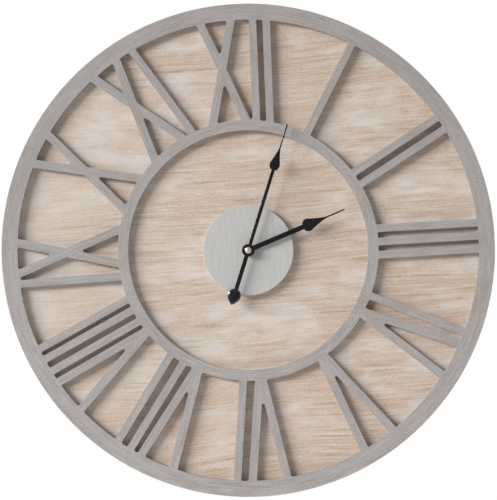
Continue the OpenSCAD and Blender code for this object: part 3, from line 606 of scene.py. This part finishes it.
cover = copy_of("movement_cover")
cover_low, cover_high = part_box("movement_cover")
ease_edges(cover, 0.35*MM, 2, chosen=lambda edge: on_outside(edge, cover_low, cover_high))
knob_low, knob_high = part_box("setting_knob")
knob_foot = Vector(((knob_low.x + knob_high.x)/2, cover_high.y, (knob_low.z + knob_high.z)/2))
KNOB_R = 5*MM
# A raised collar guards the knob, and a frame of low ribs stiffens the cover.
collar = turned([(KNOB_R + 0.8*MM, -0.2*MM), (KNOB_R + 2*MM, -0.2*MM), (KNOB_R + 2*MM, 0.9*MM),
                 (KNOB_R + 0.8*MM, 0.9*MM)], knob_foot, -OUT, 64)
ease_edges(collar, 0.25*MM, 2)
add_shell(cover, collar)
RIB_H = 0.5*MM
inset = 4*MM
left, right = cover_low.x + inset, cover_high.x - inset
bottom, top = cover_low.z + inset, cover_high.z - inset
for low, high in (((left, bottom), (right, bottom + RIB_W)), ((left, top - RIB_W), (right, top)),
                  ((left, bottom), (left + RIB_W, top)), ((right - RIB_W, bottom), (right, top))):
    add_shell(cover, block(Vector((low[0], cover_high.y - 0.2*MM, low[1])),
                           Vector((high[0], cover_high.y + RIB_H, high[1])), 0.15*MM))
# Grip lines by the edge show where the cover is prised out.
for i in range(6):
    x = right - 9*MM + i*1.6*MM
    add_shell(cover, block(Vector((x, cover_high.y - 0.2*MM, bottom + 2.4*MM)),
                           Vector((x + 0.7*MM, cover_high.y + RIB_H, bottom + 8*MM)), 0.12*MM))
cover_plate = show("cover_plate", cover, black_abs)
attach(cover_plate, "clock")
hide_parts("movement_cover")

# ------------------------------------------------------------------------------------------------------------
# Works: the wheels, plate and setting knob, moulded in acetal, which is left in its own milky white.
# The wheels run on their own pivots in the cover and in the plate.
# ------------------------------------------------------------------------------------------------------------

# Acetal: milky white and waxy, with faint flow lines from the moulding.
acetal = start_material("moulded_acetal")
flow = drawn_out(acetal, (5*MM, 5*MM, 1.5*MM), 0.3, 20, 3)
acetal_colour = mixed(acetal, spread(acetal, flow, 0.35, 0.7), "#E6E2D6", "#D6D0C0")
end_material(acetal, acetal_colour, spread(acetal, flow, 0.3, 0.7, 0.32, 0.45), flow, 0.02*MM,
             subsurface_weight=0.1)

# Glass epoxy board: green solder mask over a weave 0.8 mm wide, with the tracks showing as lighter lines.
circuit_laminate = start_material("glass_epoxy_laminate")
place = add_node(circuit_laminate, "TexCoord", output="Object")
tracks = add_node(circuit_laminate, "TexBrick", {"Vector": place, "Scale": 1/(4*MM), "Mortar Size": 0.06},
                  output="Fac")
weave = drawn_out(circuit_laminate, (0.8*MM, 0.8*MM, 0.8*MM), 0.2, 0, 2)
mask_colour = mixed(circuit_laminate, tracks, "#1E5A36", "#2F7A4A")
mask_colour = mixed(circuit_laminate, spread(circuit_laminate, weave, 0.4, 0.7, 0, 0.4), mask_colour,
                    "#184A2C")
end_material(circuit_laminate, mask_colour, spread(circuit_laminate, weave, 0.3, 0.7, 0.25, 0.4), weave,
             0.02*MM)

# Cast epoxy: a glossy black blob with a slightly rippled skin.
cast_resin = start_material("cast_black_epoxy")
ripple = drawn_out(cast_resin, (1.2*MM, 1.2*MM, 1.2*MM), 0.2, 0, 2)
resin_colour = mixed(cast_resin, spread(cast_resin, ripple, 0.3, 0.7), "#0E0E10", "#1B1B1E")
end_material(cast_resin, resin_colour, spread(cast_resin, ripple, 0.3, 0.7, 0.15, 0.3), ripple, 0.05*MM)

# Nickel plated spring steel: bright, with rolling marks along the strip.
nickel_plate = start_material("nickel_plated_steel")
rolling = drawn_out(nickel_plate, (8*MM, 0.25*MM, 0.4*MM), 0.3, 0, 2)
nickel_colour = mixed(nickel_plate, spread(nickel_plate, rolling, 0.3, 0.7), "#C6C4BE", "#DAD8D2")
end_material(nickel_plate, nickel_colour, spread(nickel_plate, rolling, 0.3, 0.7, 0.2, 0.36), rolling,
             0.01*MM, metallic=1.0)

# Enamelled copper wire: reddish metal. Its turns, 0.3 mm apart, show as a relief and as painted shade, darker
# in the grooves between turns and lighter on their crests.
copper_wire = start_material("enamelled_copper_wire")
place = add_node(copper_wire, "TexCoord", output="Object")
turns = add_node(copper_wire, "TexWave", {"Vector": place, "Scale": math.tau/20/(0.3*MM), "Distortion": 0.4,
                                          "Detail": 1.0}, bands_direction="X")
# Painted shade: the colour darkens in the grooves between turns and lightens on their crests.
wire_with_groove_shade = mixed(copper_wire, turns, "#7A3B1C", "#C8744A")
end_material(copper_wire, wire_with_groove_shade, spread(copper_wire, turns, 0, 1, 0.45, 0.25), turns, 0.08*MM,
             metallic=0.9)

# Sintered magnet: dark grey, dull and grainy.
sintered = start_material("sintered_magnet")
crumbs = drawn_out(sintered, (0.5*MM, 0.5*MM, 0.5*MM), 0.1, 0, 3)
sintered_colour = mixed(sintered, spread(sintered, crumbs, 0.3, 0.7), "#2A2A2C", "#434346")
end_material(sintered, sintered_colour, spread(sintered, crumbs, 0.3, 0.7, 0.5, 0.7), crumbs, 0.03*MM,
             metallic=0.6)

# Turned brass: yellow, with fine tool rings and a little tarnish.
turned_brass = start_material("turned_brass")
tool_rings = drawn_out(turned_brass, (4*MM, 0.2*MM, 4*MM), 0.1, 0, 2)
tarnish = drawn_out(turned_brass, (3*MM, 3*MM, 3*MM), 0.5, 0, 3)
brass_colour = mixed(turned_brass, spread(turned_brass, tarnish, 0.4, 0.75), "#D9BB6A", "#A9853F")
end_material(turned_brass, brass_colour, spread(turned_brass, tarnish, 0.3, 0.7, 0.2, 0.38), tool_rings,
             0.015*MM, metallic=1.0)

WORKS = {
    acetal: ["train_plate", "coil_bobbin", "rotor_pinion", "intermediate_wheel", "seconds_wheel",
             "third_wheel", "centre_wheel", "motion_wheel", "setting_knob"],
    circuit_laminate: ["circuit_board"],
    cast_resin: ["clock_chip"],
    nickel_plate: ["quartz_crystal", "stator", "positive_contact", "negative_contact"],
    copper_wire: ["coil_winding"],
    sintered: ["rotor_magnet"],
    turned_brass: ["minute_arbor", "hour_wheel", "dial_washer"],
}
for material, parts in WORKS.items():
    for node in parts:
        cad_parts[node].material_slots[0].material = material

# ------------------------------------------------------------------------------------------------------------
# Battery: a round cell in a printed shrink sleeve that is rolled in over both ends.
# Its button and its flat end are bare nickel plated steel.
# ------------------------------------------------------------------------------------------------------------

# Shrink sleeve: glossy blue film with a pale band near the button, with fine ripples round the can.
sleeve = start_material("printed_shrink_sleeve")
place = add_node(sleeve, "SeparateXYZ", {"Vector": add_node(sleeve, "TexCoord", output="Object")}, output="X")
ripples = drawn_out(sleeve, (7*MM, 2*MM, 2*MM), 0.3, 0, 2)
BAND = 12*MM
band = spread(sleeve, place, BAND, BAND + 0.1*MM)
stripe = spread(sleeve, place, BAND + 1.6*MM, BAND + 1.7*MM)
sleeve_colour = mixed(sleeve, band, "#2F4A6B", "#B9BEC4")
sleeve_colour = mixed(sleeve, stripe, sleeve_colour, "#2F4A6B")
sleeve_colour = mixed(sleeve, spread(sleeve, ripples, 0.4, 0.75, 0, 0.3), sleeve_colour, "#4B6280")
end_material(sleeve, sleeve_colour, spread(sleeve, ripples, 0.3, 0.7, 0.22, 0.35), ripples, 0.04*MM)

cell_r = (cell_high.z - cell_low.z)/2
cell_foot = Vector((cell_low.x, (cell_low.y + cell_high.y)/2, (cell_low.z + cell_high.z)/2))
cell_l = cell_high.x - cell_low.x
BUTTON_R = 2.7*MM
can_r = cell_r - 0.15*MM
X_AXIS = Vector((1, 0, 0))
profile = [(0, 0.1*MM), (can_r - 1.2*MM, 0), (can_r - 0.2*MM, 0.15*MM), (can_r, 0.6*MM),
           (can_r, cell_l - 1.6*MM), (can_r - 0.5*MM, cell_l - 0.9*MM), (BUTTON_R + 0.6*MM, cell_l - 0.9*MM),
           (BUTTON_R, cell_l - 0.6*MM), (BUTTON_R - 0.1*MM, cell_l - 0.1*MM), (BUTTON_R - 0.4*MM, cell_l),
           (0, cell_l)]
can = turned(profile, cell_foot, X_AXIS, 64)
battery_can = show("battery_can", can, nickel_plate)
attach(battery_can, "clock")
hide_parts("battery_cell")
roll = [(can_r - 1.3*MM, 0.05*MM), (cell_r - 0.5*MM, 0.05*MM), (cell_r, 0.6*MM), (cell_r, cell_l - 1.5*MM),
        (cell_r - 0.5*MM, cell_l - 0.7*MM), (can_r - 1.4*MM, cell_l - 0.75*MM),
        (can_r - 1.4*MM, cell_l - 0.95*MM), (can_r - 0.1*MM, cell_l - 1.7*MM), (can_r - 0.1*MM, 0.5*MM),
        (can_r - 1.3*MM, 0.2*MM)]
film = turned(roll, cell_foot, X_AXIS, 64)
battery_sleeve = show("battery_sleeve", film, sleeve)
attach(battery_sleeve, "clock")
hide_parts("battery_cell")

# ------------------------------------------------------------------------------------------------------------
# Fixing: the brass bushing, threaded from end to end, comes through the dial from a rubber gasket behind.
# A washer and a hexagon nut on its front clamp the movement to the dial.
# ------------------------------------------------------------------------------------------------------------

gasket_low, gasket_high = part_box("rubber_gasket")
gasket = washer_shape((gasket_high.x - gasket_low.x)/2, bushing_hole, *layer("rubber_gasket"), steps=64)
ease_edges(gasket, 0.2*MM, 2, chosen=lambda edge: edge.calc_length() > 0.9*MM)
rubber_ring = show("rubber_ring", gasket, rubber)
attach(rubber_ring, "clock")
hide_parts("rubber_gasket")

bushing_back, bushing_front = layer("threaded_bushing")
BUSHING_R = 4*MM
BORE_R = 2.56*MM
FLANGE_T = 1.2*MM
flange_r = radius_of("threaded_bushing")
profile = [(BORE_R, bushing_back), (flange_r, bushing_back), (flange_r, bushing_back + FLANGE_T),
           (BUSHING_R - 0.3*MM, bushing_back + FLANGE_T)]
profile += thread(BUSHING_R - 0.35*MM, BUSHING_R, bushing_back + FLANGE_T, bushing_front - 0.3*MM, 0.75*MM)
profile += [(BUSHING_R - 0.4*MM, bushing_front), (BORE_R, bushing_front)]
bushing = show("bushing_tube", turned(profile, steps=64), turned_brass)
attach(bushing, "clock")
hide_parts("threaded_bushing")

nut = copy_of("dial_nut")
ease_edges(nut, 0.35*MM, 2, chosen=lambda edge: edge.calc_length() > 1*MM)
hexagon_nut = show("hexagon_nut", nut, turned_brass)
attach(hexagon_nut, "clock")
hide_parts("dial_nut")

# ------------------------------------------------------------------------------------------------------------
# Hands: blanked from aluminium, so their front edges roll over a little, and sprayed black.
# The hour hand is riveted to its collar. The minute hand carries a pressed counterweight on its tail.
# ------------------------------------------------------------------------------------------------------------

# Black lacquer: deep black with a soft gloss and a faint orange-peel skin.
black_lacquer = start_material("black_lacquer_on_aluminium")
peel = drawn_out(black_lacquer, (1.6*MM, 1.6*MM, 1.6*MM), 0.2, 0, 2)
cloud = drawn_out(black_lacquer, (20*MM, 20*MM, 20*MM), 0.5, 0, 2)
lacquer_colour = mixed(black_lacquer, spread(black_lacquer, cloud, 0.35, 0.7), "#080707", "#120F10")
end_material(black_lacquer, lacquer_colour, spread(black_lacquer, cloud, 0.3, 0.7, 0.2, 0.3), peel, 0.02*MM,
             coat_weight=1.0, coat_roughness=0.1)


def front_edge(edge, front):
    return all(abs(vert.co.y + front) < 0.01*MM for vert in edge.verts)


ROLL_OVER = 0.5*MM
hour_blank = copy_of("hour_hand")
hour_front = layer("hour_hand")[1]
ease_edges(hour_blank, ROLL_OVER, 3, chosen=lambda edge: front_edge(edge, hour_front))
hour_spade = show("hour_spade", hour_blank, black_lacquer)
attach(hour_spade, "hour_work")
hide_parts("hour_hand")

collar_ring = copy_of("hour_hand_collar")
collar_front = layer("hour_hand_collar")[1]
ease_edges(collar_ring, 0.3*MM, 2, chosen=lambda edge: front_edge(edge, collar_front))
hour_collar = show("hour_collar", collar_ring, black_lacquer)
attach(hour_collar, "hour_work")
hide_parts("hour_hand_collar")

minute_blank = copy_of("minute_hand")
minute_back, weight_front = layer("minute_hand")
HAND_T = 0.8*MM
blade_front = minute_back + HAND_T
# The counterweight is pressed into a dome, which rises from its rim in steps.
RIM_RISE = 0.3*MM
crown = [f for f in minute_blank.faces
         if f.normal.y < -0.99 and abs(f.calc_center_median().y + weight_front) < 0.01*MM]
rim_verts = list({vert for face in crown for vert in face.verts})
low_rim = weight_front - blade_front - RIM_RISE
bmesh.ops.translate(minute_blank, vec=(0, low_rim, 0), verts=rim_verts)
middle = sum((vert.co for vert in rim_verts), Vector())/len(rim_verts)
for shrink, rise in ((0.9, 0.37), (0.8, 0.3), (0.68, 0.22), (0.4, 0.11)):
    ring_above = bmesh.ops.extrude_face_region(minute_blank, geom=crown)["geom"]
    bmesh.ops.delete(minute_blank, geom=crown, context="FACES_ONLY")
    crown = [part for part in ring_above if isinstance(part, bmesh.types.BMFace)]
    corners = [part for part in ring_above if isinstance(part, bmesh.types.BMVert)]
    bmesh.ops.scale(minute_blank, vec=(shrink, 1, shrink), verts=corners, space=Matrix.Translation(-middle))
    bmesh.ops.translate(minute_blank, vec=(0, -rise*low_rim, 0), verts=corners)
ease_edges(minute_blank, ROLL_OVER, 3, chosen=lambda edge: front_edge(edge, blade_front))
minute_spade = show("minute_spade", minute_blank, black_lacquer)
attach(minute_spade, "minute_work")
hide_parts("minute_hand")

# ------------------------------------------------------------------------------------------------------------
# Cap nut: a dome turned from brass and polished almost to a mirror.
# It screws on the stud that stands out of the minute arbor, and holds the minute hand on it.
# ------------------------------------------------------------------------------------------------------------

# Polished brass: pale, almost a mirror, with hairline scratches.
polished_brass = start_material("polished_brass")
scratches = drawn_out(polished_brass, (3*MM, 0.3*MM, 0.3*MM), 0.1, 30, 2)
polish_colour = mixed(polished_brass, spread(polished_brass, scratches, 0.4, 0.7), "#F1ECDC", "#E2D8BC")
end_material(polished_brass, polish_colour, spread(polished_brass, scratches, 0.3, 0.7, 0.36, 0.5), scratches,
             0.006*MM, metallic=1.0)

cap_r = radius_of("cap_nut")
cap_back, cap_front = layer("cap_nut")
SKIRT = 1.6*MM
STUD_R = 1.36*MM
dome_h = cap_front - cap_back - SKIRT
crown = [(cap_r*math.cos(a), cap_back + SKIRT + dome_h*math.sin(a))
         for a in (math.pi/2*i/10 for i in range(10))]
profile = [(0, cap_back + 1.9*MM), (STUD_R, cap_back + 1.9*MM), (STUD_R, cap_back),
           (cap_r - 0.2*MM, cap_back), (cap_r, cap_back + 0.2*MM)] + crown + [(0, cap_front)]
domed_cap = show("domed_cap", turned(profile, steps=64), polished_brass)
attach(domed_cap, "minute_work")
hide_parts("cap_nut")

# ------------------------------------------------------------------------------------------------------------
# Studio: a pale floor well below the clock, a soft lamp to its upper left, a weaker one behind it, and white
# all round. The camera looks straight at the dial, rolled by the few degrees the clock hangs out of true.
# ------------------------------------------------------------------------------------------------------------

# Matt paper: off-white with barely visible mottling.
paper = start_material("matt_paper")
mottle = drawn_out(paper, (0.2, 0.2, 0.2), 0.1, 0, 3)
paper_colour = mixed(paper, spread(paper, mottle, 0.3, 0.7), "#E4E2DE", "#EAE8E5")
end_material(paper, paper_colour, spread(paper, mottle, 0.3, 0.7, 0.85, 0.95), mottle, 0.1*MM)

sheet = bmesh.new()
FLOOR_Z = -0.9
bmesh.ops.create_grid(sheet, x_segments=1, y_segments=1, size=1.4, matrix=Matrix.Translation((0, 0, FLOOR_Z)))
floor = show("floor", sheet, paper)


def soft_box(name, direction, distance, width, height, power):
    """A far, wide rectangular lamp facing the dial."""
    light = bpy.data.lights.new(name, "AREA")
    light.shape = "RECTANGLE"
    light.size = width
    light.size_y = height
    light.energy = power
    fixture = bpy.data.objects.new(name, light)
    fixture.location = hand_axis + distance*Vector(direction).normalized()
    fixture.rotation_euler = Vector(direction).to_track_quat("Z", "Y").to_euler()
    bpy.context.scene.collection.objects.link(fixture)


soft_box("key_lamp", (-1.4, -1.0, 0.66), 9.0, 5.2, 1.8, 870)
soft_box("back_lamp", (0.7, 1.0, 0.8), 6.0, 3.0, 2.0, 190)

# The room behind the camera is dim, so that gloss black stays black. The camera itself sees plain white.
world = bpy.data.worlds.new("white_studio")
world.use_nodes = True
world.node_tree.nodes.clear()
outlook = add_node(world, "SeparateXYZ", {"Vector": add_node(world, "TexCoord", output="Generated")},
                   output="Y")
room = spread(world, outlook, -0.93, -0.6, 0.16, 0.48)
seen = add_node(world, "LightPath", output="Is Camera Ray")
strength = add_node(world, "Mix", {"Factor": seen, "A": room, "B": 1.0})
glow = add_node(world, "Background", {"Strength": strength, "Color": (1, 1, 1, 1)})
add_node(world, "OutputWorld", {"Surface": glow})
bpy.context.scene.world = world
bpy.context.scene.view_settings.view_transform = "Standard"

# The camera stands 3 m off the dial and frames 608 mm of it.
DISTANCE = 3.0
FRAMED = 0.608
SENSOR_W = 36
ROLL = math.radians(-3.4)
camera_data = bpy.data.cameras.new("camera")
dial_front = layer("numeral_fretwork")[1]
camera_data.sensor_width = SENSOR_W
camera_data.lens = SENSOR_W*DISTANCE/FRAMED
camera = bpy.data.objects.new("camera", camera_data)
look_from = hand_axis + (DISTANCE + dial_front)*OUT + Vector((0.0003, 0, 0.0003))
camera.matrix_world = (Matrix.Translation(look_from) @ Matrix.Rotation(math.pi/2, 4, "X")
                       @ Matrix.Rotation(ROLL, 4, "Z"))
bpy.context.scene.collection.objects.link(camera)
bpy.context.scene.camera = camera
